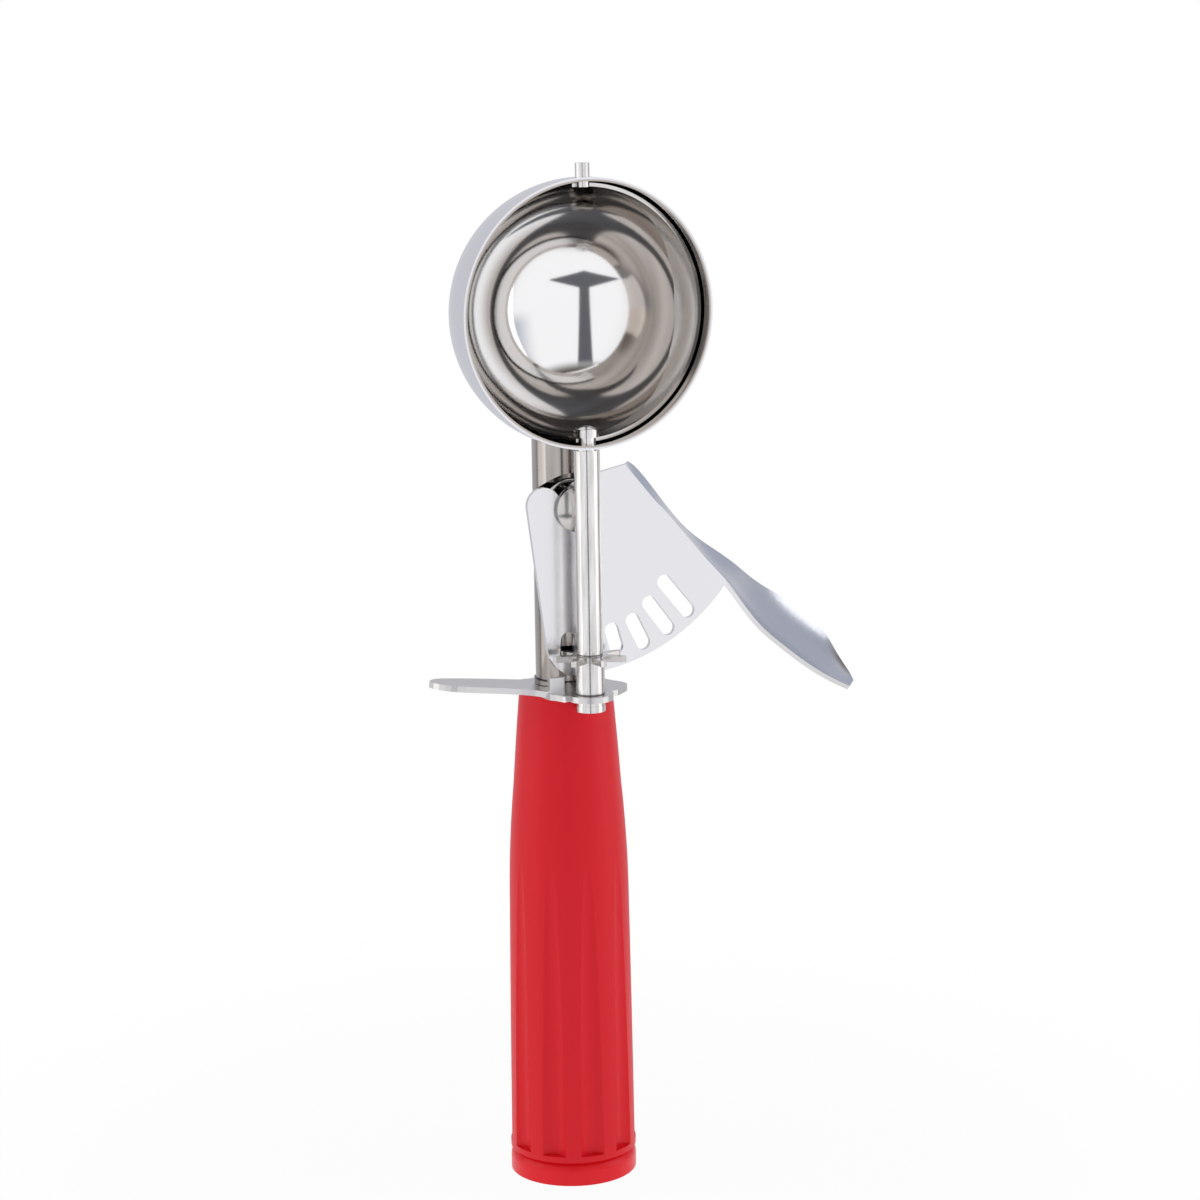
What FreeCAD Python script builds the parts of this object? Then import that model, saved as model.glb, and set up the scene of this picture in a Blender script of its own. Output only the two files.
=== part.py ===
import FreeCAD, Part
import math
import os

# Lever scoop (disher), millimetres. +Z runs up the handle from the flat butt to the bowl,
# the bowl opens toward -Y and the thumb lever stands out toward +X.
# The origin is the centre of the flat butt. Each named solid is one physical piece.

doc = FreeCAD.newDocument("LeverScoop")
sheet = doc.addObject("Spreadsheet::Sheet", "sheet")
ROW = [0]
NUM = {}


class Dim:
    """A number together with the sheet expression that gives it."""

    def __init__(self, val, txt):
        self.val = val
        self.txt = txt

    def __add__(self, o):
        o = dim(o)
        return Dim(self.val + o.val, "(%s + %s)" % (self.txt, o.txt))

    def __sub__(self, o):
        o = dim(o)
        return Dim(self.val - o.val, "(%s - %s)" % (self.txt, o.txt))

    def __mul__(self, o):
        o = dim(o)
        return Dim(self.val * o.val, "(%s * %s)" % (self.txt, o.txt))

    def __truediv__(self, o):
        o = dim(o)
        return Dim(self.val / o.val, "(%s / %s)" % (self.txt, o.txt))

    def __neg__(self):
        return Dim(-self.val, "(-1 * %s)" % self.txt)

    def __radd__(self, o):
        return dim(o) + self

    def __rsub__(self, o):
        return dim(o) - self

    def __rmul__(self, o):
        return dim(o) * self


def dim(o):
    return o if isinstance(o, Dim) else Dim(float(o), repr(float(o)))


def size(name, value, note=""):
    """Puts one driving size on the sheet and returns it."""
    ROW[0] += 1
    sheet.set("A%d" % ROW[0], name)
    sheet.set("B%d" % ROW[0], repr(float(value)))
    sheet.set("C%d" % ROW[0], note)
    sheet.setAlias("B%d" % ROW[0], name)
    NUM[name] = float(value)
    return Dim(float(value), "sheet." + name)


def dsin(deg):
    d = dim(deg)
    return Dim(math.sin(math.radians(d.val)), "sin(%s * 1 deg)" % d.txt)


def dcos(deg):
    d = dim(deg)
    return Dim(math.cos(math.radians(d.val)), "cos(%s * 1 deg)" % d.txt)


def root(a):
    return Dim(math.sqrt(a.val), "sqrt(%s)" % a.txt)


# Driving sizes
bowl_z = size("bowl_z", 181.3, "height of the bowl's centre")
bowl_r = size("bowl_r", 26.8, "outer radius of the bowl")
bowl_wall = size("bowl_wall", 0.8, "wall of the bowl")
bowl_skirt = size("bowl_skirt", 3.0, "straight skirt ahead of the drive axis")
drive_off = size("drive_off", 12.6, "drive axis ahead of the tube axis")
tube_r = size("tube_r", 6.1, "outer radius of the shank tube")
tube_wall = size("tube_wall", 1.1, "wall of the shank tube")
tube_foot = size("tube_foot", 62.0, "lower end of the tube inside the grip")
pivot_z = size("pivot_z", 141.6, "height of the lever pivot")
notch_r = size("notch_r", 7.2, "radius of the tube's cut round the pivot")
notch_y = size("notch_y", 1.0, "face of that cut ahead of the tube axis")
plate_t = size("plate_t", 1.0, "thickness of the lever stamping")
plate_gap = size("plate_gap", 0.2, "gap between the tube and the lever")
fit = size("fit", 0.05, "radial running clearance")
rod_r = size("rod_r", 1.9, "radius of the drive rod")
retainer_h = size("retainer_h", 1.3, "height of the collar at the rod's lower end")
rod_top = size("rod_top", 157.4, "upper end of the drive rod")
head_r = size("head_r", 2.5, "radius of the rod's slotted head")
head_h = size("head_h", 1.5, "height of the head above the rod")
sleeve_r = size("sleeve_r", 2.62, "outer radius of the drive sleeve")
star_z = size("star_z", 111.3, "underside of the star pinion")
star_t = size("star_t", 1.2, "thickness of the star pinion")
star_r = size("star_r", 7.5, "tip radius of the star pinion")
star_root = size("star_root", 3.6, "root radius of the star pinion")
star_n = 7
tooth_tip = size("tooth_tip", 1.2, "tooth width at the tip")
tooth_base = size("tooth_base", 2.3, "tooth width at the root")
hub_r = size("hub_r", 2.95, "radius of the pinion hub")
flange_z = size("flange_z", 103.3, "underside of the flange plate")
flange_t = size("flange_t", 1.2, "thickness of the flange plate")
collar_h = size("collar_h", 1.3, "height of the tube collar")
collar_r = size("collar_r", 6.45, "radius of the tube collar")
grip_gap = size("grip_gap", 0.1, "gap between the grip and the flange plate")
cap_h = size("cap_h", 4.9, "height of the butt cap")
cap_r = size("cap_r", 13.2, "radius of the butt cap")
cap_round = size("cap_round", 2.2, "rounding of the butt cap's lower edge")
flute_r = size("flute_r", 3.6, "radius of the flute cutter")
flute_top = size("flute_top", 79.0, "height where the flutes fade out")
flute_n = 10
spigot_r = size("spigot_r", 3.4, "radius of the cap's spigot")
spigot_h = size("spigot_h", 8.5, "height of the spigot above the cap")
wire_d = size("wire_d", 0.9, "spring wire")
coil_r = size("coil_r", 5.4, "mean radius of the spring coil")
rivet_r = size("rivet_r", 2.5, "radius of the rivet shank")
rivet_head = size("rivet_head", 4.7, "radius of the rivet head")
barrel_r = size("barrel_r", 3.6, "radius of the pivot barrel")
blade_gap = size("blade_gap", 0.4, "gap between the blade and the bowl")
blade_t = size("blade_t", 0.7, "thickness of the blade")
blade_w = size("blade_w", 8.2, "width of the blade at its middle")
pin_r = size("pin_r", 1.45, "radius of the top pin")
pin_over = size("pin_over", 2.7, "top pin above the bowl")
slot_w = size("slot_w", 3.1, "width of the lever's slots")
slot_step = size("slot_step", 10.6, "angle between the lever's slots")
slot_mid = size("slot_mid", 28.5, "radius of the first slots' middle")
doc.recompute()

DY = -drive_off
hub_low = flange_z - 1.0
rod_foot = hub_low - retainer_h
grip_top = flange_z - grip_gap
bowl_in = bowl_r - bowl_wall
bowl_low = bowl_z - bowl_r
PLATE_BACK = -(tube_r + plate_gap)
PLATE_FRONT = PLATE_BACK - plate_t

AXES = {"Z": FreeCAD.Rotation(), "Y": FreeCAD.Rotation(FreeCAD.Vector(1, 0, 0), -90),
        "X": FreeCAD.Rotation(FreeCAD.Vector(0, 1, 0), 90)}


def place(obj, at, axis="Z"):
    """Places an object at a point given by sheet sizes."""
    p = [dim(v) for v in at]
    obj.Placement = FreeCAD.Placement(FreeCAD.Vector(p[0].val, p[1].val, p[2].val), AXES[axis])
    for k, v in zip("xyz", p):
        obj.setExpression("Placement.Base." + k, v.txt)
    return obj


def bind(obj, **props):
    for k, v in props.items():
        obj.setExpression(k, dim(v).txt)
    return obj


def cyl(name, r, h, at, axis="Z"):
    o = doc.addObject("Part::Cylinder", name)
    return place(bind(o, Radius=r, Height=h), at, axis)


def cone(name, r1, r2, h, at, axis="Z"):
    o = doc.addObject("Part::Cone", name)
    return place(bind(o, Radius1=r1, Radius2=r2, Height=h), at, axis)


def ball(name, r, at):
    o = doc.addObject("Part::Sphere", name)
    return place(bind(o, Radius=r), at)


def box(name, dx, dy, dz, at):
    o = doc.addObject("Part::Box", name)
    return place(bind(o, Length=dx, Width=dy, Height=dz), at)


def fuse(name, parts):
    o = doc.addObject("Part::MultiFuse", name)
    o.Shapes = parts
    return o


def common(name, parts):
    o = doc.addObject("Part::MultiCommon", name)
    o.Shapes = parts
    return o


def cut(name, base, tool):
    o = doc.addObject("Part::Cut", name)
    o.Base = base
    o.Tool = tool if not isinstance(tool, list) else fuse(name + "_tools", tool)
    return o


import Sketcher

PLANES = {"XY": FreeCAD.Rotation(), "XZ": FreeCAD.Rotation(FreeCAD.Vector(1, 0, 0), 90),
          "YZ": FreeCAD.Rotation(FreeCAD.Vector(1, 1, 1), 120)}
NORMALS = {"XY": (0, 0, 1), "XZ": (0, 1, 0), "YZ": (1, 0, 0)}


def outline(name, plane, verts):
    """A closed sketch whose corners are held by sheet sizes."""
    s = doc.addObject("Sketcher::SketchObject", name)
    s.Placement = FreeCAD.Placement(FreeCAD.Vector(0, 0, 0), PLANES[plane])
    pts = [(dim(a), dim(b)) for a, b in verts]
    n = len(pts)
    for i in range(n):
        a = pts[i]
        b = pts[(i + 1) % n]
        s.addGeometry(Part.LineSegment(FreeCAD.Vector(a[0].val, a[1].val, 0),
                                       FreeCAD.Vector(b[0].val, b[1].val, 0)), False)
    for i in range(n):
        s.addConstraint(Sketcher.Constraint("Coincident", i, 2, (i + 1) % n, 1))
    for i, (a, b) in enumerate(pts):
        for kind, v in (("DistanceX", a), ("DistanceY", b)):
            c = s.addConstraint(Sketcher.Constraint(kind, -1, 1, i, 1, v.val))
            s.setExpression("Constraints[%d]" % c, v.txt)
    return s


def rounded(verts, per=3):
    """More corners on a smooth curve through the given ones."""
    pts = [(dim(a), dim(b)) for a, b in verts]
    n = len(pts)
    out = []
    for i in range(n):
        four = [pts[(i + k) % n] for k in (-1, 0, 1, 2)]
        for j in range(per):
            t = j / float(per)
            w = (-0.5 * t + t * t - 0.5 * t ** 3, 1 - 2.5 * t * t + 1.5 * t ** 3,
                 0.5 * t + 2 * t * t - 1.5 * t ** 3, -0.5 * t * t + 0.5 * t ** 3)
            if j == 0:
                out.append(four[1])
                continue
            out.append(tuple(four[0][c] * w[0] + four[1][c] * w[1] + four[2][c] * w[2] + four[3][c] * w[3]
                             for c in (0, 1)))
    return out


def prism(name, plane, verts, start, length):
    """An outline extruded along its plane's normal, from start over length."""
    s = outline(name + "_outline", plane, verts)
    o = doc.addObject("Part::Extrusion", name)
    o.Base = s
    o.DirMode = "Custom"
    o.Dir = FreeCAD.Vector(*NORMALS[plane])
    o.Solid = True
    bind(o, LengthFwd=length)
    at = {"XY": (0, 0, start), "XZ": (0, start, 0), "YZ": (start, 0, 0)}[plane]
    p = [dim(v) for v in at]
    for k, v in zip("xyz", p):
        s.setExpression("Placement.Base." + k, v.txt)
    return o


PIECES = []


def piece(name, obj):
    obj.Label = name
    PIECES.append((name, obj))
    return obj


# Bowl: a hemisphere round the drive axis with a short straight skirt up to the rim
def shell_solid(name, r):
    whole = ball(name + "_ball", r, (0, DY, bowl_z))
    keep = box(name + "_half", r * 2.2, r * 1.1, r * 2.2, (-(r * 1.1), DY, bowl_z - r * 1.1))
    half = common(name + "_cup", [whole, keep])
    skirt = cyl(name + "_skirt", r, bowl_skirt + 0.01, (0, DY - bowl_skirt, bowl_z), "Y")
    return fuse(name, [half, skirt])


outer = shell_solid("bowl_outer", bowl_r)
inner_ball = ball("bowl_inner_ball", bowl_in, (0, DY, bowl_z))
inner_bore = cyl("bowl_inner_bore", bowl_in, bowl_skirt + 2, (0, DY - bowl_skirt - 2, bowl_z), "Y")
low_hole = cyl("bowl_low_hole", rod_r + fit, 6, (0, DY, bowl_low - 3))
top_hole = cyl("bowl_top_hole", pin_r + fit, 6, (0, DY, bowl_z + bowl_r - 3))
piece("bowl", cut("bowl_shell", outer, [inner_ball, inner_bore, low_hole, top_hole]))

# Shank tube: coped to the bowl, cut away round the pivot, with a window for the pinion
top_len = bowl_z - tube_foot
tube_out = cyl("tube_out", tube_r, top_len, (0, 0, tube_foot))
tube_bore = cyl("tube_bore", tube_r - tube_wall, top_len + 2, (0, 0, tube_foot - 1))
cope = ball("tube_cope", bowl_r, (0, DY, bowl_z))
notch = cyl("tube_notch", notch_r, 10, (0, -(notch_y + 10), pivot_z), "Y")
window = box("tube_window", 12, 4, star_t + 1.6, (-6, -8.2, star_z - 0.8))
rivet_back = cyl("tube_rivet_hole", rivet_r, 8, (0, 0, pivot_z), "Y")
piece("shank_tube", cut("tube_cut", tube_out, [tube_bore, cope, notch, window, rivet_back]))

# Braze ring between the tube and the bowl
ring_out = cyl("ring_out", tube_r + 0.9, 14, (0, 0, bowl_low - 3))
ring_in = cyl("ring_in", tube_r, 20, (0, 0, bowl_low - 6))
ring_ball = ball("ring_ball", bowl_r + 1.0, (0, DY, bowl_z))
ring_void = ball("ring_void", bowl_r, (0, DY, bowl_z))
piece("braze_ring", cut("ring_cut", common("ring_body", [ring_out, ring_ball]), [ring_in, ring_void]))

# Collar that clamps the flange plate to the tube
col_out = cyl("collar_out", collar_r, collar_h, (0, 0, flange_z + flange_t))
col_in = cyl("collar_in", tube_r, collar_h + 2, (0, 0, flange_z + flange_t - 1))
piece("tube_collar", cut("collar_cut", col_out, col_in))

# Flange plate: thumb tab toward -X, lobe round the drive axis, one lug bent up
tab_tip = size("tab_tip", 30.0, "reach of the flange's tab")
lobe_r = size("lobe_r", 4.7, "radius of the flange's front lobe")
tab_lift = size("tab_lift", 7.0, "upward slope of the tab in degrees")
tab_root = size("tab_root", 8.0, "start of that slope from the tube's axis")
tab_rise = size("tab_rise", 0.3, "rise of the tab's underside where it leaves the plate")
FL = prism("flange_sheet", "XY", rounded([
    (-tab_root, -8.2), (-6.8, -10.8), (-5.8, -13.2), (-lobe_r, DY), (lobe_r, DY), (8.2, -10.4), (10.2, -8.2),
    (10.4, -5.6), (8.6, -1.5), (8.2, 3.0), (5.4, 6.4), (0, 8.0), (-5.2, 6.6), (-tab_root, 5.2)]), flange_z, flange_t)
TB = prism("tab_sheet", "XY", rounded([
    (-(tab_tip - 6), 4.7), (-(tab_tip - 2), 3.4), (-tab_tip, 0.1), (-(tab_tip - 2), -3.2), (-(tab_tip - 6), -4.6),
    (-16, -5.2), (-11, -6.2), (-tab_root, -8.2), (-6.9, -8.4), (-6.9, 5.4), (-tab_root, 5.2), (-16, 5.2)]), 0, flange_t)
TB.Placement = FreeCAD.Placement(FreeCAD.Vector(0, 0, 0), FreeCAD.Rotation(FreeCAD.Vector(0, 1, 0), tab_lift.val))
TB.setExpression("Placement.Rotation.Angle", "sheet.tab_lift * 1 deg")
TB.setExpression("Placement.Base.x", (tab_root * dcos(tab_lift) - tab_root).txt)
TB.setExpression("Placement.Base.z", (flange_z + tab_rise - tab_root * dsin(tab_lift)).txt)
lobe = cyl("flange_lobe", lobe_r, flange_t, (0, DY, flange_z))
lug = box("flange_lug", 3.2, flange_t, 4.4, (-7.6, -9.6, flange_z))
f_tube = cyl("flange_tube_hole", tube_r, 6, (0, 0, flange_z - 2))
f_drive = cyl("flange_drive_hole", hub_r + fit, 6, (0, DY, flange_z - 2))
piece("flange_plate", cut("flange_cut", fuse("flange_body", [FL, TB, lobe, lug]), [f_tube, f_drive]))

# Grip: a turned body of three long arcs, bored for the tube, ten flutes cut by tilted cutters
GRIP = [("grip_low_r", 13.2, "radius at the cap"), ("grip_mid_r", 12.5, "radius where the grip narrows"),
        ("grip_neck_r", 11.15, "radius at the neck"), ("grip_top_r", 9.6, "radius at the top")]
GRIP_Z = [("grip_mid_z", 57.7, "height where the grip narrows"), ("grip_neck_z", 83.6, "height of the neck")]
gr = [size(*g) for g in GRIP]
gz = [cap_h + 0.05] + [size(*g) for g in GRIP_Z] + [grip_top]
bulge = [size("grip_low_arc", 6000, "radius of the lowest arc"), size("grip_mid_arc", 300, "radius of the middle arc"),
         size("grip_top_arc", 900, "radius of the upper arc")]
prof = doc.addObject("Sketcher::SketchObject", "grip_profile")
prof.Placement = FreeCAD.Placement(FreeCAD.Vector(0, 0, 0), PLANES["XZ"])
doc.recompute()
ends = [(gr[i].val, gz[i].val) for i in range(4)]


def bowed(a, b, radius):
    """An arc from a to b that bows away from the axis."""
    pa = FreeCAD.Vector(a[0], a[1], 0)
    pb = FreeCAD.Vector(b[0], b[1], 0)
    half = (pb - pa) * 0.5
    out = FreeCAD.Vector(half.y, -half.x, 0)
    out.normalize()
    sag = radius - math.sqrt(radius * radius - half.Length ** 2)
    return Part.Arc(pa, pa + half + out * sag, pb)


for i in range(3):
    prof.addGeometry(bowed(ends[i], ends[i + 1], bulge[i].val), False)
corners = [ends[3], (0, ends[3][1]), (0, ends[0][1]), ends[0]]
for i in range(3):
    prof.addGeometry(Part.LineSegment(FreeCAD.Vector(*corners[i], 0), FreeCAD.Vector(*corners[i + 1], 0)), False)
for i in range(6):
    prof.addConstraint(Sketcher.Constraint("Coincident", i, 2, (i + 1) % 6, 1))
held = [(i, gr[i], gz[i]) for i in range(3)] + [(3, gr[3], gz[3]), (4, None, gz[3]), (5, None, gz[0])]
for i, r, z in held:
    for kind, v in (("DistanceX", r), ("DistanceY", z)):
        if v is None:
            prof.addConstraint(Sketcher.Constraint("PointOnObject", i, 1, -2))
            continue
        c = prof.addConstraint(Sketcher.Constraint(kind, -1, 1, i, 1, v.val))
        prof.setExpression("Constraints[%d]" % c, v.txt)
for i in range(3):
    c = prof.addConstraint(Sketcher.Constraint("Radius", i, bulge[i].val))
    prof.setExpression("Constraints[%d]" % c, bulge[i].txt)
loft = doc.addObject("Part::Revolution", "grip_turned")
loft.Source = prof
loft.Axis = FreeCAD.Vector(0, 0, 1)
loft.Base = FreeCAD.Vector(0, 0, 0)
loft.Angle = 360
loft.Solid = True
flute_reach = size("flute_reach", 15.45, "flute cutter's axis from the grip's axis")
flute_low = cap_h + 1.3
flutes = []
for k in range(flute_n):
    f = doc.addObject("Part::Cylinder", "flute%d" % k)
    bind(f, Radius=flute_r, Height=flute_top - flute_low)
    a = math.radians(360.0 / flute_n * (k + 0.35))
    turn = FreeCAD.Rotation(FreeCAD.Vector(-math.sin(a), math.cos(a), 0), 0.35)
    f.Placement = FreeCAD.Placement(FreeCAD.Vector(0, 0, 0), turn)
    f.setExpression("Placement.Base.x", (flute_reach * math.cos(a)).txt)
    f.setExpression("Placement.Base.y", (flute_reach * math.sin(a)).txt)
    f.setExpression("Placement.Base.z", flute_low.txt)
    flutes.append(f)
grip_bore = cyl("grip_bore", tube_r, grip_top - tube_foot + 1, (0, 0, tube_foot))
relief_low = rod_foot - 0.4
grip_relief = cyl("grip_relief", hub_r + 0.45, grip_top - relief_low + 1, (0, DY, relief_low))
core_hole = cyl("grip_core", spigot_r, tube_foot + 5, (0, 0, -5))
piece("handle_grip", cut("grip_cut", loft, flutes + [grip_bore, core_hole, grip_relief]))

# Butt cap, a turned body with a rounded lower edge and a spigot into the grip
cap_disc = cyl("cap_disc", cap_r, cap_h, (0, 0, 0))
cap_edge = doc.addObject("Part::Fillet", "cap_edge")
spigot = cyl("cap_spigot", spigot_r, spigot_h + 0.5, (0, 0, cap_h - 0.5))
doc.recompute()
cap_edge.Base = cap_disc
cap_edge.Edges = [(3, cap_round.val, cap_round.val)]
piece("butt_cap", fuse("cap_body", [cap_edge, spigot]))

# Drive rod with its slotted head inside the bowl
head = cyl("rod_head", head_r, head_h, (0, DY, rod_top - 0.6))
dome = common("rod_dome", [ball("rod_ball", 4.2, (0, DY, rod_top + head_h - 0.6 - 3.5)),
                           cyl("rod_dome_cut", head_r - 0.35, 1.2, (0, DY, rod_top + head_h - 0.7))])
rod = cyl("rod_bar", rod_r, rod_top - rod_foot, (0, DY, rod_foot))
head_slot = box("rod_slot", head_r * 2 + 2, 0.9, 1.1, (-(head_r + 1), DY - 0.45, rod_top + head_h - 0.85))
piece("drive_rod", cut("rod_cut", fuse("rod_body", [rod, head, dome]), head_slot))

# Sleeve over the rod between the bowl and the pinion
sleeve_low = star_z + star_t
sl_out = cyl("sleeve_out", sleeve_r, bowl_low - 0.4 - sleeve_low, (0, DY, sleeve_low))
sl_in = cyl("sleeve_in", rod_r, bowl_r * 3, (0, DY, sleeve_low - 1))
piece("drive_sleeve", cut("sleeve_cut", sl_out, sl_in))

# Hub under the pinion, running in the flange, with a retaining collar below
hb_out = cyl("hub_out", hub_r, star_z - hub_low, (0, DY, hub_low))
hb_in = cyl("hub_in", rod_r, star_z, (0, DY, hub_low - 1))
piece("pinion_hub", cut("hub_cut", hb_out, hb_in))
rt_out = cyl("retainer_out", hub_r + 0.1, retainer_h, (0, DY, rod_foot))
rt_in = cyl("retainer_in", rod_r, retainer_h + 2, (0, DY, rod_foot - 1))
piece("rod_retainer", cut("retainer_cut", rt_out, rt_in))

# Star pinion: a padded disc and one tooth repeated round the rod
body = doc.addObject("PartDesign::Body", "star_body")


def origin_plane(b, role):
    return [o for o in b.Origin.OriginFeatures if o.Role == role][0]


def body_sketch(b, name, role):
    s = b.newObject("Sketcher::SketchObject", name)
    s.AttachmentSupport = [(origin_plane(b, role), "")]
    s.MapMode = "FlatFace"
    return s


disc_s = body_sketch(body, "star_disc_sketch", "XY_Plane")
disc_s.addGeometry(Part.Circle(FreeCAD.Vector(0, 0, 0), FreeCAD.Vector(0, 0, 1), star_root.val), False)
disc_s.addGeometry(Part.Circle(FreeCAD.Vector(0, 0, 0), FreeCAD.Vector(0, 0, 1), rod_r.val), False)
for i, r in ((0, star_root), (1, rod_r)):
    disc_s.addConstraint(Sketcher.Constraint("Coincident", i, 3, -1, 1))
    c = disc_s.addConstraint(Sketcher.Constraint("Radius", i, r.val))
    disc_s.setExpression("Constraints[%d]" % c, r.txt)
disc = body.newObject("PartDesign::Pad", "star_disc")
disc.Profile = disc_s
disc.setExpression("Length", star_t.txt)
tooth_s = body_sketch(body, "star_tooth_sketch", "XY_Plane")
TOOTH = [(star_root - 0.5, tooth_base * -0.5), (star_r - 0.5, tooth_tip * -0.5), (star_r, tooth_tip * -0.25),
         (star_r, tooth_tip * 0.25), (star_r - 0.5, tooth_tip * 0.5), (star_root - 0.5, tooth_base * 0.5)]
for i in range(6):
    a = TOOTH[i]
    b = TOOTH[(i + 1) % 6]
    tooth_s.addGeometry(Part.LineSegment(FreeCAD.Vector(a[0].val, a[1].val, 0),
                                         FreeCAD.Vector(b[0].val, b[1].val, 0)), False)
for i in range(6):
    tooth_s.addConstraint(Sketcher.Constraint("Coincident", i, 2, (i + 1) % 6, 1))
for i, (a, b) in enumerate(TOOTH):
    for kind, v in (("DistanceX", a), ("DistanceY", b)):
        c = tooth_s.addConstraint(Sketcher.Constraint(kind, -1, 1, i, 1, v.val))
        tooth_s.setExpression("Constraints[%d]" % c, v.txt)
tooth = body.newObject("PartDesign::Pad", "star_tooth")
tooth.Profile = tooth_s
tooth.setExpression("Length", star_t.txt)
pattern = body.newObject("PartDesign::PolarPattern", "star_teeth")
pattern.Originals = [tooth]
pattern.Axis = ([o for o in body.Origin.OriginFeatures if o.Role == "Z_Axis"][0], [""])
pattern.Angle = 360
pattern.Occurrences = star_n
body.Tip = pattern
body.Placement = FreeCAD.Placement(FreeCAD.Vector(0, 0, 0),
                                   FreeCAD.Rotation(FreeCAD.Vector(0, 0, 1), -90))
body.setExpression("Placement.Base.y", DY.txt)
body.setExpression("Placement.Base.z", star_z.txt)
piece("star_pinion", body)

# Scraper blade: a strip of a thin ball that lies along the bowl's inner wall
br = bowl_in - blade_gap
shell = cut("blade_shell", ball("blade_ball", br, (0, DY, bowl_z)), ball("blade_void", br - blade_t, (0, DY, bowl_z)))
lens = prism("blade_lens", "YZ", [
    (DY, bowl_z - br - 1), (DY + 3.4, bowl_z - br - 1), (DY + 4.6, bowl_z - br * 0.72),
    (DY + blade_w * 0.88, bowl_z - br * 0.36), (DY + blade_w, bowl_z), (DY + blade_w * 0.88, bowl_z + br * 0.36),
    (DY + 4.6, bowl_z + br * 0.72), (DY + 3.4, bowl_z + br + 1), (DY, bowl_z + br + 1)], -2.2, br + 6)
tang = common("blade_strip", [shell, lens])
rod_clear = cyl("blade_rod_hole", rod_r, 8, (0, DY, bowl_z - br - 4))
head_clear = cyl("blade_head_hole", head_r, head_h + 2, (0, DY, rod_top - 0.6))
pin_seat = cyl("blade_pin_hole", pin_r, 6, (0, DY, bowl_z + br - 3))
piece("scraper_blade", cut("blade_cut", tang, [rod_clear, head_clear, pin_seat]))

# Top pin: it carries the blade's upper end in the bowl's wall
pin_low = bowl_z + br - blade_t - 0.1
pin = cyl("pin_bar", pin_r, bowl_z + bowl_r + pin_over - pin_low, (0, DY, pin_low))
piece("top_pin", pin)

# Lever stamping: fan plate with six slots, ear, folded spine and dished thumb pad
fan_arc_r = size("fan_arc_r", 42.8, "radius of the fan's lower edge")
fan_arc_up = size("fan_arc_up", 8.55, "centre of that edge above the pivot")
fan_poly = prism("fan_sheet", "XZ", [
    (-10.8, pivot_z + 0.9), (-8.2, pivot_z - 19.2), (-7.0, pivot_z - 28.4), (-6.4, pivot_z - 30.4),
    (-5.2, pivot_z - 32.2), (-3.4, pivot_z - 33.6), (-1.0, pivot_z - 36.0), (36.0, pivot_z - 36.0),
    (36.0, pivot_z - 20.0), (33.6, pivot_z - 17.8), (28.8, pivot_z - 12.6), (24.0, pivot_z - 7.0),
    (17.5, pivot_z + 0.2), (10.8, pivot_z + 8.2), (6.0, pivot_z + 7.2), (2.2, pivot_z + 6.0),
    (-1.0, pivot_z + 5.4), (-3.6, pivot_z + 2.6)], PLATE_FRONT, plate_t)
fan_arc = cyl("fan_arc", fan_arc_r, plate_t + 2, (0, PLATE_FRONT - 1, pivot_z + fan_arc_up), "Y")
fan = common("fan_bound", [fan_poly, fan_arc])
ear = cyl("fan_ear", 3.6, plate_t, (-7.2, PLATE_FRONT, pivot_z + 1.1), "Y")
slots = []
for k in range(6):
    ang = slot_step * (k - 0.5)
    mid = slot_mid + (0.0 if k < 3 else 1.1)
    length = [6.4, 6.4, 6.7, 8.4, 10.0, 11.4][k]
    lean = ang if k < 5 else ang - 8.0
    cx = mid * dsin(ang)
    cz = pivot_z - mid * dcos(ang)
    half = (length - slot_w) / 2 if isinstance(length, Dim) else (dim(length) - slot_w) / 2
    ux = dsin(lean)
    uz = -dcos(lean)
    hw = slot_w / 2
    slots.append(prism("slot_bar%d" % k, "XZ", [
        (cx - ux * half + uz * hw, cz - uz * half - ux * hw), (cx + ux * half + uz * hw, cz + uz * half - ux * hw),
        (cx + ux * half - uz * hw, cz + uz * half + ux * hw), (cx - ux * half - uz * hw, cz - uz * half + ux * hw)],
        PLATE_FRONT - 1, plate_t + 2))
    slots.append(cyl("slot_in%d" % k, hw, plate_t + 2, (cx - ux * half, PLATE_FRONT - 1, cz - uz * half), "Y"))
    slots.append(cyl("slot_out%d" % k, hw, plate_t + 2, (cx + ux * half, PLATE_FRONT - 1, cz + uz * half), "Y"))
eye = cyl("fan_eye", rivet_r + fit, plate_t + 2, (0, PLATE_FRONT - 1, pivot_z), "Y")
fan_flat = cut("fan_flat", fuse("fan_blank", [fan, ear]), slots + [eye])

# The spine and pad are one curved strip, lofted through thin dished sections
PAD = [  # front edge X and Z from the pivot, back edge X, depth in Y, Z from the pivot, dish
    (10.8, 8.2, 13.1, 4.0, 8.2, 0.0), (17.5, 0.2, 21.0, 5.0, -0.1, 0.0), (24.0, -7.0, 29.2, 7.0, -8.5, 0.1),
    (28.8, -12.6, 35.8, 9.0, -13.0, 0.4), (33.6, -17.8, 43.1, 11.0, -18.3, 0.9),
    (36.3, -21.4, 48.1, 13.0, -21.8, 1.4), (40.2, -26.5, 54.2, 14.5, -25.4, 2.0),
    (44.7, -30.9, 59.8, 15.5, -29.2, 2.3), (49.9, -35.1, 63.9, 15.0, -33.2, 2.1),
    (54.9, -38.7, 65.2, 12.0, -37.0, 1.4), (59.4, -41.4, 65.2, 7.0, -40.0, 0.6), (62.6, -43.0, 65.0, 2.8, -42.5, 0.1)]


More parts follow.
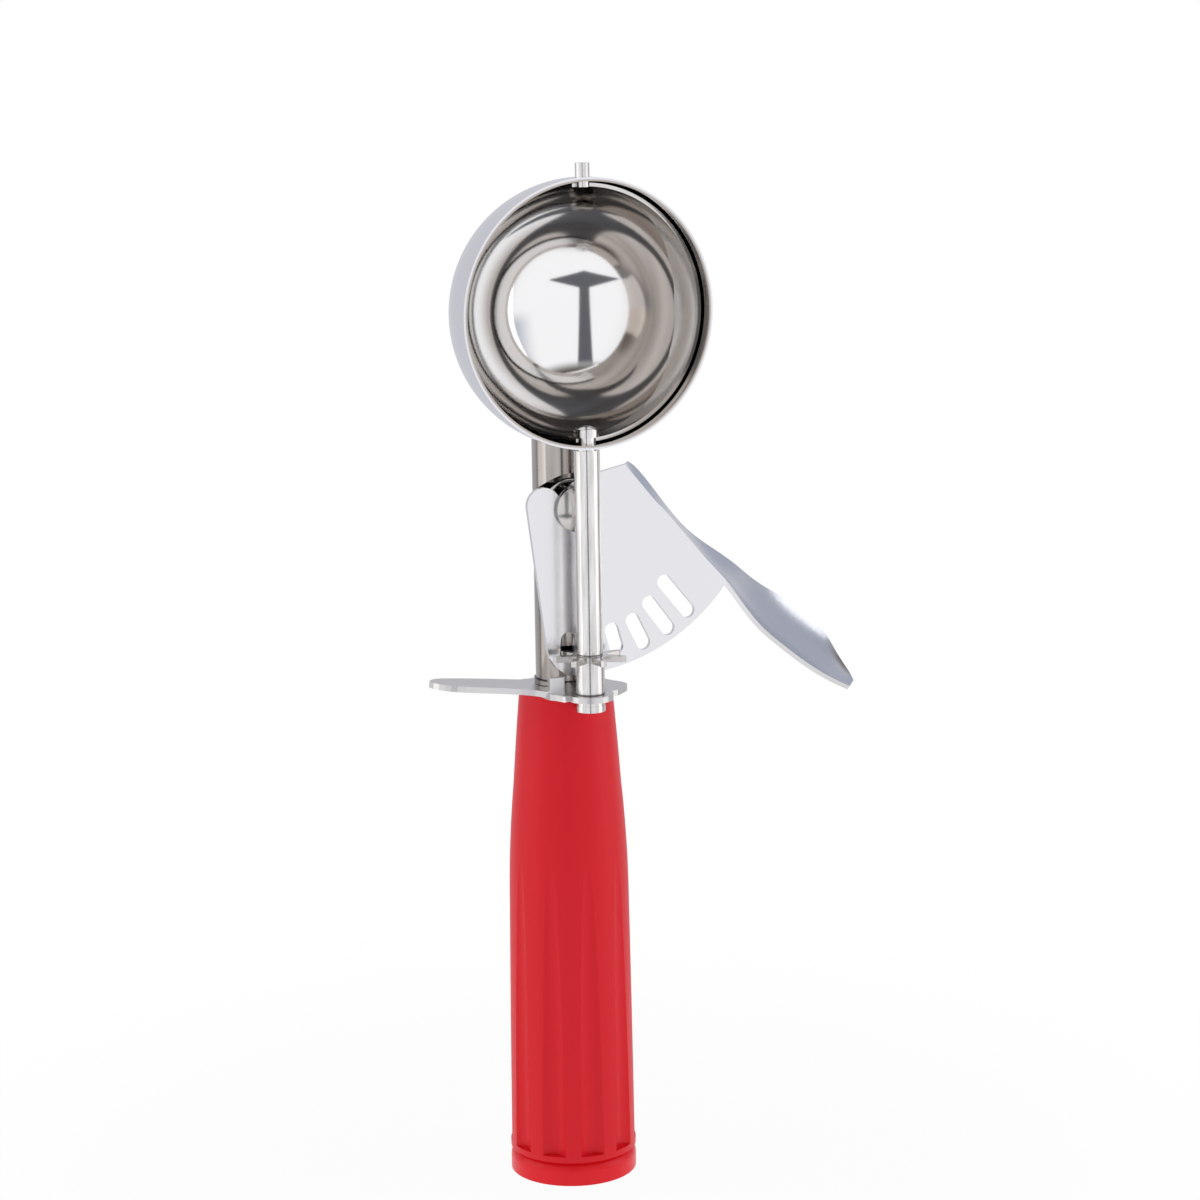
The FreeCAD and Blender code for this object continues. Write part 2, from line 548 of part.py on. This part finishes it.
def pad_wires():
    pz = sheet.get("pivot_z")
    t = sheet.get("plate_t")
    y0 = -(sheet.get("tube_r") + sheet.get("plate_gap")) - t
    wires = []
    n = len(PAD)
    for i, (x, dz, xb, dy, zb, dish) in enumerate(PAD):
        a = PAD[max(i - 1, 0)]
        b = PAD[min(i + 1, n - 1)]
        run = FreeCAD.Vector(b[0] - a[0], 0, b[1] - a[1]) + FreeCAD.Vector(b[2] - a[2], b[3] - a[3], b[4] - a[4])
        p0 = FreeCAD.Vector(x, y0, pz + dz)
        p1 = FreeCAD.Vector(xb, y0 + dy, pz + zb)
        nrm = run.cross(p1 - p0)
        nrm.normalize()
        if nrm.z < 0:
            nrm = -nrm
        top = []
        low = []
        for k in range(7):
            f = k / 6.0
            q = p0 + (p1 - p0) * f - nrm * (dish * (1 - (2 * f - 1) ** 2))
            top.append(q)
            low.append(q - nrm * t)
        low.reverse()
        e1 = Part.BSplineCurve()
        e1.interpolate(top)
        e2 = Part.LineSegment(top[-1], low[0])
        e3 = Part.BSplineCurve()
        e3.interpolate(low)
        e4 = Part.LineSegment(low[-1], top[0])
        wires.append(Part.Wire([e1.toShape(), e2.toShape(), e3.toShape(), e4.toShape()]))
    return wires


pad = doc.addObject("Part::Feature", "pad_strip")
pad.Shape = Part.makeLoft(pad_wires(), True, False)
piece("thumb_lever", fuse("lever_body", [fan_flat, pad]))

# Pivot rivet, its barrel inside the tube and its tail washer
head_y = PLATE_FRONT - fit
rh = cone("rivet_head_cone", rivet_head, rivet_head, 0.9, (0, head_y - 0.9, pivot_z), "Y")
rd = common("rivet_dome", [ball("rivet_ball", 7.6, (0, head_y - 0.9 + 6.0, pivot_z)),
                           cyl("rivet_dome_cut", rivet_head, 1.8, (0, head_y - 2.6, pivot_z), "Y")])
rs = cyl("rivet_shank", rivet_r, tube_r + 1.6 - head_y, (0, head_y - 0.1, pivot_z), "Y")
piece("pivot_rivet", fuse("rivet_body", [rh, rd, rs]))
bl_y = PLATE_BACK + fit
inner_back = root((tube_r - tube_wall) * (tube_r - tube_wall) - barrel_r * barrel_r)
bo = cyl("barrel_out", barrel_r, inner_back - bl_y, (0, bl_y, pivot_z), "Y")
bi = cyl("barrel_in", rivet_r, 30, (0, -15, pivot_z), "Y")
piece("pivot_barrel", cut("barrel_cut", bo, bi))
wo = cyl("washer_out", 3.7, 1.6, (0, tube_r - 0.6, pivot_z), "Y")
wi = cyl("washer_in", rivet_r, 30, (0, -15, pivot_z), "Y")
wt = cyl("washer_tube", tube_r, 20, (0, 0, pivot_z - 10))
piece("rivet_washer", cut("washer_cut", wo, [wi, wt]))


# Return spring: wire wound round the barrel, one end on the tube's cut face, one at the lever
def spring_shape():
    d = sheet.get("wire_d")
    rc = sheet.get("coil_r")
    pz = sheet.get("pivot_z")
    back = -sheet.get("notch_y")
    front = -(sheet.get("tube_r") + sheet.get("plate_gap"))
    bend = d * 0.9
    y_end = back - 0.02
    y_start = front + 0.12
    y_low = y_end - d - bend
    y_high = y_start + d + bend
    span = y_low - y_high
    turns = 1.0

    def at(a, y):
        return FreeCAD.Vector(rc * math.cos(a), y, pz + rc * math.sin(a))

    def tangent(a):
        return FreeCAD.Vector(-math.sin(a), 0, math.cos(a))
    a0 = math.pi
    total = 2 * math.pi * turns + math.pi * 0.75
    ease = bend / rc
    # leg on the tube's face, then a bend into the coil
    pts_edges = []
    p0 = at(a0, y_end)
    p1 = at(a0, y_end - d)
    pts_edges.append(Part.LineSegment(p0, p1).toShape())
    s = 1.0 / math.sqrt(2.0)
    a1 = a0 + ease
    p2 = at(a1, y_low)
    chord = at(a0 + ease * (1 - s), y_end - d - bend * s)
    pts_edges.append(Part.Arc(p1, chord, p2).toShape())
    n = max(4, int(math.ceil((total - 2 * ease) / (math.pi / 4))))
    prev = p2
    run = total - 2 * ease
    for i in range(n):
        am = a1 + run * (i + 0.5) / n
        ae = a1 + run * (i + 1.0) / n
        fm = (i + 0.5) / n
        fe = (i + 1.0) / n
        m = at(am, y_low - span * fm)
        e = at(ae, y_low - span * fe)
        pts_edges.append(Part.Arc(prev, m, e).toShape())
        prev = e
    a2 = a0 + total
    p4 = at(a2, y_high - bend)
    mid = at(a2 - ease * (1 - s), y_high - bend * s)
    pts_edges.append(Part.Arc(prev, mid, p4).toShape())
    p5 = at(a2, y_start)
    pts_edges.append(Part.LineSegment(p4, p5).toShape())
    path = Part.Wire(pts_edges)
    prof = Part.Wire([Part.Circle(p0, FreeCAD.Vector(0, 1, 0), d / 2).toShape()])
    pts = path.discretize(240)
    arc = path.Length / 239.0
    skip = int(2.2 * d / arc) + 1
    gap = 9.0
    for i in range(len(pts)):
        for j in range(i + skip, len(pts)):
            gap = min(gap, pts[i].distanceToPoint(pts[j]) - d)
    print("return_spring least gap to itself %.2f mm" % gap)
    return path.makePipeShell([prof], True, False)


spring = doc.addObject("Part::Feature", "spring_wire")
spring.Shape = spring_shape()
piece("return_spring", spring)

doc.recompute()
os.makedirs("parts", exist_ok=True)
for name, obj in PIECES:
    shape = obj.Shape
    if shape.isNull() or not shape.isValid() or "Invalid" in obj.State or "Error" in obj.State:
        raise RuntimeError("%s did not build" % name)
    if len(shape.Solids) != 1:
        raise RuntimeError("%s has %d solids" % (name, len(shape.Solids)))
    b = shape.BoundBox
    print("%-15s vol %8.1f  x %6.1f %6.1f  y %6.1f %6.1f  z %6.1f %6.1f" % (
        name, shape.Volume, b.XMin, b.XMax, b.YMin, b.YMax, b.ZMin, b.ZMax))
    shape.exportStep("parts/%s.step" % name)
for obj in doc.Objects:
    if "Invalid" in obj.State or "Error" in obj.State:
        raise RuntimeError("%s is %s" % (obj.Name, obj.State))
print("pieces", len(PIECES))
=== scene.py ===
# %% [markdown]
# A lever ice cream scoop stands upright on the flat end of its red handle. The solids of the
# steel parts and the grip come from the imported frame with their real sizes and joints.
# This lesson dresses them: it gives each one a finish, draws the thin dark lines where the
# turned parts meet, and lights the scoop like a catalogue picture. It adds no shape.

# %% Load the frame
import bpy
import math
from mathutils import Matrix, Vector

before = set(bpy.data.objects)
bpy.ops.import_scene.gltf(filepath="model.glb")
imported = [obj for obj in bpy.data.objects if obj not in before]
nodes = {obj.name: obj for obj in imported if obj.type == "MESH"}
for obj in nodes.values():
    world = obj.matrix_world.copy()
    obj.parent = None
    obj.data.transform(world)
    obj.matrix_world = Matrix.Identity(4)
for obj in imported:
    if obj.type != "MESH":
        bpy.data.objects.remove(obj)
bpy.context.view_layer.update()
print("pieces in the frame:", len(nodes))

# %% [markdown]
# Shader arithmetic reads best as arithmetic. This class wraps one output socket, so that
# a sum or a product of values writes the Math node it needs. Colours have methods of their
# own, because a Math node would turn a colour grey.

# %% A socket that can be reckoned with
class Val:
    def __init__(self, tree, socket):
        self.tree = tree
        self.socket = socket

    def node(self, kind, settings=None, **inputs):
        n = self.tree.nodes.new(kind)
        for key, value in (settings or {}).items():
            setattr(n, key, value)
        for key, value in inputs.items():
            at = int(key[1:]) if key[0] == "i" and key[1:].isdigit() else key.replace("_", " ")
            if isinstance(value, Val):
                self.tree.links.new(value.socket, n.inputs[at])
            else:
                n.inputs[at].default_value = value
        return n

    def _math(self, op, a, b=0.0, clamp=False):
        n = self.node("ShaderNodeMath", {"operation": op, "use_clamp": clamp}, i0=a, i1=b)
        return Val(self.tree, n.outputs[0])

    def __add__(self, o):
        return self._math("ADD", self, o)

    __radd__ = __add__

    def __sub__(self, o):
        return self._math("SUBTRACT", self, o)

    def __rsub__(self, o):
        return self._math("SUBTRACT", o, self)

    def __mul__(self, o):
        return self._math("MULTIPLY", self, o)

    __rmul__ = __mul__

    def clamp(self):
        return self._math("ADD", self, 0.0, clamp=True)

    def power(self, o):
        return self._math("POWER", self, o)

    def absolute(self):
        return self._math("ABSOLUTE", self)

    def sine(self):
        return self._math("SINE", self)

    def smooth(self, low, high):
        n = self.node("ShaderNodeMapRange", {"interpolation_type": "SMOOTHSTEP"}, Value=self,
                      From_Min=low, From_Max=high)
        return Val(self.tree, n.outputs["Result"])

    def mix(self, a, b):
        """Colour a where this value is 0 and colour b where it is 1."""
        n = self.node("ShaderNodeMix", {"data_type": "RGBA"}, i0=self, i6=a, i7=b)
        return Val(self.tree, n.outputs[2])


def rgba(r, g, b):
    return (r, g, b, 1.0)


print("sockets ready")

# %% [markdown]
# Every finish starts from a Principled shader. The constants go straight on its sockets and
# only what changes over the surface is linked. The helper hands back the material, its
# shader, and the position on the piece in metres.

# %% A finish to start from
def finish(name, colour, rough, metal=0.0):
    m = bpy.data.materials.new(name)
    m.use_nodes = True
    tree = m.node_tree
    p = tree.nodes["Principled BSDF"]
    p.inputs["Base Color"].default_value = colour
    p.inputs["Roughness"].default_value = rough
    p.inputs["Metallic"].default_value = metal
    place = tree.nodes.new("ShaderNodeTexCoord")
    return m, p, Val(tree, place.outputs["Object"])


def axis(v, which):
    n = v.node("ShaderNodeSeparateXYZ", i0=v)
    return Val(v.tree, n.outputs[which])


def noise(v, scale, detail=2.0, stretch=(1, 1, 1)):
    moved = v.node("ShaderNodeMapping", i0=v, Scale=stretch)
    n = v.node("ShaderNodeTexNoise", Vector=Val(v.tree, moved.outputs[0]), Scale=scale, Detail=detail)
    return Val(v.tree, n.outputs[0])


def drive(shader, name, value):
    value.tree.links.new(value.socket, shader.inputs[name])


def bumped(shader, height, distance, strength=1.0):
    b = height.node("ShaderNodeBump", Height=height, Distance=distance, Strength=strength)
    height.tree.links.new(b.outputs[0], shader.inputs["Normal"])


# %% [markdown]
# The bowl is spun stainless steel, polished like a mirror inside and out. Its inner face has
# a painted reflection in its colour: bright in the deep middle and browner toward the mouth.
# The painted tint follows the depth below the mouth, with faint rings like those a spinning chuck
# leaves.

# %% Polished bowl
BOWL_Z = 0.1813
DRIVE_Y = -0.0126
BOWL_R = 0.0268
WALL = 0.0008
INNER_EDGE = 0.0002
RING_RATE = 3600.0
PAINTED_REFLECTION_DEPTH = (0.42, 0.78)
bowl_steel, p, at = finish("bowl_steel", rgba(0.80, 0.80, 0.82), 0.05, 1.0)
dx = axis(at, 0)
dy = axis(at, 1) - DRIVE_Y
dz = axis(at, 2) - BOWL_Z
flat = (dx * dx + dz * dz).power(0.5)
reach = (flat * flat + dy * dy.clamp()).power(0.5)
inner = (BOWL_R - WALL * 0.5 - reach).smooth(-INNER_EDGE, INNER_EDGE)
# Painted reflection: the inner face is coloured bright in the deep middle and browner toward the mouth.
deep = (dy * (1.0 / BOWL_R)).smooth(*PAINTED_REFLECTION_DEPTH)
rings = (flat * RING_RATE).sine() * 0.5 + 0.5
spin_rings_and_painted_reflection = rings.mix(rgba(0.44, 0.40, 0.37), rgba(0.50, 0.46, 0.425))
spin_rings_and_painted_reflection = deep.mix(spin_rings_and_painted_reflection, rgba(0.90, 0.895, 0.89))
drive(p, "Base Color", inner.mix(rgba(0.80, 0.80, 0.83), spin_rings_and_painted_reflection))
drive(p, "Roughness", 0.05 + 0.05 * noise(at, 60.0, 1.0) + 0.06 * (1.0 - inner))
print("bowl finish")

# %% [markdown]
# The tube, the flange plate and the drive parts are less polished, so their reflections are
# a little blurred, with fine streaks along the tube and the sleeve. A thin dark line of painted
# shade marks the gaps at the top of the collar, the foot of the sleeve and the place where the hub
# meets the flange.

# %% Tube, flange and drive steel
def painted_seam_shade(height, at_height, half):
    """1 on a thin line of painted shade round a piece at one height, 0 away from it."""
    return (half - (height - at_height).absolute()).smooth(0.0, half * 0.6)


COLLAR_TOP = 0.1058
SLEEVE_FOOT = 0.1127
FLANGE_TOP = 0.1046
COLLAR_LINE = 0.00025
HUB_LINE = 0.0002
tube_steel, p, at = finish("tube_steel", rgba(0.52, 0.485, 0.465), 0.16, 1.0)
streak = noise(at, 300.0, 2.0, (1, 1, 0.05))
# Painted shade: a thin dark ring in the gap at the top of the collar.
line = painted_seam_shade(axis(at, 2), COLLAR_TOP, COLLAR_LINE)
tube_tint = streak.smooth(0.35, 0.65).mix(rgba(0.36, 0.33, 0.31), rgba(0.46, 0.43, 0.41))
drive(p, "Base Color", line.mix(tube_tint, rgba(0.10, 0.09, 0.085)))
drive(p, "Roughness", 0.12 + 0.10 * streak)
bumped(p, streak, 0.00001, 0.4)
flange_steel, p, at = finish("flange_steel", rgba(0.66, 0.65, 0.655), 0.16, 1.0)
drive(p, "Roughness", 0.27 + 0.08 * noise(at, 500.0))
drive_steel, p, at = finish("drive_steel", rgba(0.76, 0.745, 0.735), 0.14, 1.0)
turned = noise(at, 700.0, 3.0, (1, 1, 0.12))
height = axis(at, 2)
# Painted shade: thin dark rings in the gaps at the sleeve's foot and where the hub meets the flange.
line = (painted_seam_shade(height, SLEEVE_FOOT, HUB_LINE) + painted_seam_shade(height, FLANGE_TOP, HUB_LINE)).clamp()
drive_tint = turned.smooth(0.3, 0.7).mix(rgba(0.64, 0.62, 0.61), rgba(0.82, 0.81, 0.80))
drive(p, "Base Color", line.mix(drive_tint, rgba(0.16, 0.15, 0.14)))
drive(p, "Roughness", 0.12 + 0.10 * turned)
pinion_steel, p, at = finish("pinion_steel", rgba(0.62, 0.60, 0.58), 0.22, 1.0)
drive(p, "Roughness", 0.16 + 0.14 * noise(at, 400.0))
print("tube and drive finishes")

# %% [markdown]
# The lever is a bright stamping with a flat, slightly milky polish: it reads as a pale
# lavender grey. The blade is thinner and greyer, and the spring is drawn wire.

# %% Lever, blade, spring and rivet
lever_steel, p, at = finish("lever_steel", rgba(0.78, 0.78, 0.80), 0.20, 1.0)
drive(p, "Roughness", 0.17 + 0.06 * noise(at, 250.0))
blade_steel, p, at = finish("blade_steel", rgba(0.70, 0.68, 0.66), 0.14, 1.0)
drive(p, "Roughness", 0.10 + 0.10 * noise(at, 300.0, 2.0, (1, 1, 0.2)))
spring_steel, p, at = finish("spring_steel", rgba(0.60, 0.58, 0.56), 0.25, 1.0)
rivet_steel, p, at = finish("rivet_steel", rgba(0.62, 0.60, 0.58), 0.2, 1.0)
braze, p, at = finish("braze", rgba(0.66, 0.63, 0.58), 0.35, 1.0)
print("small steel finishes")

# %% [markdown]
# The grip and its cap are one solid red with a soft satin gloss. A fine texture breaks up
# the highlights, and the flutes catch them along their edges. The cap is a shade redder.

# %% Red grip
GRIP_SHINE = 0.25
grip_red, p, at = finish("grip_red", rgba(0.80, 0.008, 0.018), 0.34)
mottle = noise(at, 900.0, 3.0)
drive(p, "Roughness", 0.34 + 0.10 * mottle)
p.inputs["Specular IOR Level"].default_value = GRIP_SHINE
bumped(p, mottle, 0.00003, 0.35)
cap_red, p, at = finish("cap_red", rgba(0.88, 0.009, 0.020), 0.30)
p.inputs["Specular IOR Level"].default_value = GRIP_SHINE
bumped(p, noise(at, 900.0, 3.0), 0.00003, 0.25)
print("red finishes")

# %% Dress the frame's own solids
WEARS = {
    "bowl": bowl_steel, "braze_ring": braze, "shank_tube": tube_steel, "tube_collar": tube_steel,
    "flange_plate": flange_steel, "handle_grip": grip_red, "butt_cap": cap_red,
    "pivot_rivet": rivet_steel, "pivot_barrel": rivet_steel, "rivet_washer": rivet_steel,
    "return_spring": spring_steel, "thumb_lever": lever_steel, "drive_rod": drive_steel,
    "drive_sleeve": drive_steel, "pinion_hub": drive_steel, "rod_retainer": drive_steel,
    "star_pinion": pinion_steel, "scraper_blade": blade_steel, "top_pin": drive_steel,
}
for name, stuff in WEARS.items():
    piece = nodes[name]
    piece.data.materials.clear()
    piece.data.materials.append(stuff)
print("dressed", len(WEARS), "solids")

# %% [markdown]
# Polished steel shows whatever is round it, so a plain white world would make it vanish. In
# reflections this world is a white tent round the camera, with a grey-brown room beyond its
# edges, a blue-grey wall on the lever's side for the pad, and a dark stand in the opening,
# whose stem and bar the bowl turns upside down. The camera itself sees only white, and
# diffuse light comes from a plain pale world.

# %% World: a white tent with a dark stand in it
world = bpy.data.worlds.new("studio")
bpy.context.scene.world = world
world.use_nodes = True
wt = world.node_tree
for n in list(wt.nodes):
    wt.nodes.remove(n)
coord = wt.nodes.new("ShaderNodeTexCoord")
look = Val(wt, coord.outputs["Generated"])
lx = axis(look, 0)
ly = axis(look, 1)
lz = axis(look, 2)
TO_CAMERA = math.radians(23.98)
ahead = 0.0 - lx * math.sin(TO_CAMERA) - ly * math.cos(TO_CAMERA)
side = (lx * math.cos(TO_CAMERA) - ly * math.sin(TO_CAMERA)).absolute()
tent = ahead.smooth(0.02, 0.46)
rear = (0.0 - ahead).smooth(0.25, 0.6)
low = (0.0 - lz).smooth(0.75, 0.9)
high = lz.smooth(0.72, 0.84)
stem = (0.085 + lz * 0.03 - side).smooth(-0.014, 0.014) * (lz + 0.50).smooth(-0.03, 0.03) * (1.0 - high)
bar = (0.13 - side * 0.25 - (lz + 0.42).absolute()).smooth(-0.012, 0.012)
bar = bar * (0.50 - side).smooth(-0.02, 0.02)
stand = (stem + bar).clamp() * ahead.smooth(0.3, 0.5)
tone = tent.mix(rgba(0.30, 0.265, 0.24), rgba(1.0, 1.0, 1.02))
tone = rear.mix(tone, rgba(0.66, 0.665, 0.70))
tone = high.mix(tone, rgba(0.12, 0.10, 0.09))
tone = low.mix(tone, rgba(0.20, 0.17, 0.15))
blue = lx.smooth(0.35, 0.75) * lz.smooth(-0.05, 0.2) * (1.0 - high)
tone = (blue * 0.9).mix(tone, rgba(0.40, 0.43, 0.52))
tone = (stand * 0.92).mix(tone, rgba(0.045, 0.05, 0.065))
rays = wt.nodes.new("ShaderNodeLightPath")
seen = Val(wt, rays.outputs["Is Camera Ray"])
shine = Val(wt, rays.outputs["Is Glossy Ray"])
sky = shine.mix(rgba(0.37, 0.37, 0.375), tone)
sky = seen.mix(sky, rgba(1, 1, 1))
back = look.node("ShaderNodeBackground", Color=sky, Strength=1.0)
out = wt.nodes.new("ShaderNodeOutputWorld")
wt.links.new(back.outputs[0], out.inputs[0])
print("world set")

# %% [markdown]
# The floor is a wide white sheet that keeps the scoop's soft shadow. The camera sees it
# white, and toward its edge it turns into the white of the world without a line. Steel sees
# the world through it, apart from the sheet close round the scoop.

# %% Floor
bpy.ops.mesh.primitive_plane_add(size=6.0, location=(0, 0, 0))
floor = bpy.context.object
floor.name = "floor"
floor_white, p, at = finish("floor_white", rgba(0.9, 0.9, 0.9), 0.6)
tree = floor_white.node_tree
rays = tree.nodes.new("ShaderNodeLightPath")
cam_ray = Val(tree, rays.outputs["Is Camera Ray"])
gloss_ray = Val(tree, rays.outputs["Is Glossy Ray"])
fx = axis(at, 0)
fy = axis(at, 1)
far = (fx * fx + fy * fy).power(0.5).smooth(0.06, 0.24)
glow = tree.nodes.new("ShaderNodeEmission")
glow.inputs["Color"].default_value = rgba(1, 1, 1)
lit = tree.nodes.new("ShaderNodeMixShader")
tree.links.new((0.95 + far * 0.05).clamp().socket, lit.inputs[0])
tree.links.new(p.outputs[0], lit.inputs[1])
tree.links.new(glow.outputs[0], lit.inputs[2])
clear = tree.nodes.new("ShaderNodeBsdfTransparent")
blend = tree.nodes.new("ShaderNodeMixShader")
tree.links.new((gloss_ray * (0.15 + far * 0.85) + cam_ray * far).clamp().socket, blend.inputs[0])
tree.links.new(lit.outputs[0], blend.inputs[1])
tree.links.new(clear.outputs[0], blend.inputs[2])
tree.links.new(blend.outputs[0], tree.nodes["Material Output"].inputs[0])
floor.data.materials.append(floor_white)
print("floor laid")

# %% [markdown]
# One tall soft box stands on the left, a little behind the scoop, one on the right in front
# of it, and one hangs overhead. The two tall ones give the grip its long pale bands.

# %% Lamps
def softbox(name, place, aim, wide, tall, watts):
    lamp = bpy.data.lights.new(name, "AREA")
    lamp.shape = "RECTANGLE"
    lamp.size = wide
    lamp.size_y = tall
    lamp.energy = watts
    o = bpy.data.objects.new(name, lamp)
    bpy.context.scene.collection.objects.link(o)
    o.location = place
    o.rotation_euler = (Vector(aim) - Vector(place)).to_track_quat("-Z", "Y").to_euler()


MIDDLE = (0, 0, 0.10)
softbox("box_left", (-0.85, 0.30, 0.30), MIDDLE, 0.70, 1.3, 2.6)
softbox("box_right", (0.94, -0.50, 0.30), MIDDLE, 0.70, 1.3, 2.9)
softbox("box_top", (0.0, -0.1, 1.1), MIDDLE, 0.9, 0.9, 2.0)
print("lamps hung")

# %% [markdown]
# The picture was taken from the front left and a little above, from about sixty centimetres
# away. The camera is built from that reading: a point it looks at, a direction and a lens.

# %% Camera
AZ = TO_CAMERA
EL = math.radians(10.63)
ROLL = math.radians(-0.87)
DIST = 0.61474
AIM_RIGHT = 0.00734
AIM_HEIGHT = 0.12152
SENSOR = 36.0
FOCAL_PX = 3000.0
PICTURE_PX = 1200.0
away = Vector((-math.sin(AZ) * math.cos(EL), -math.cos(AZ) * math.cos(EL), math.sin(EL)))
right = Vector((math.cos(AZ), -math.sin(AZ), 0.0))
up = away.cross(right)
right2 = right * math.cos(ROLL) + up * math.sin(ROLL)
up2 = up * math.cos(ROLL) - right * math.sin(ROLL)
target = right * AIM_RIGHT + Vector((0, 0, AIM_HEIGHT))
eye = target + away * DIST
camera = bpy.data.cameras.new("camera")
camera.sensor_width = SENSOR
camera.lens = SENSOR * FOCAL_PX / PICTURE_PX
camera.clip_start = 0.01
cam = bpy.data.objects.new("camera", camera)
bpy.context.scene.collection.objects.link(cam)
cam.matrix_world = Matrix((
    (right2.x, up2.x, away.x, eye.x), (right2.y, up2.y, away.y, eye.y),
    (right2.z, up2.z, away.z, eye.z), (0, 0, 0, 1)))
bpy.context.scene.camera = cam
bpy.context.scene.view_settings.view_transform = "Standard"
print("camera at", [round(v, 3) for v in eye])
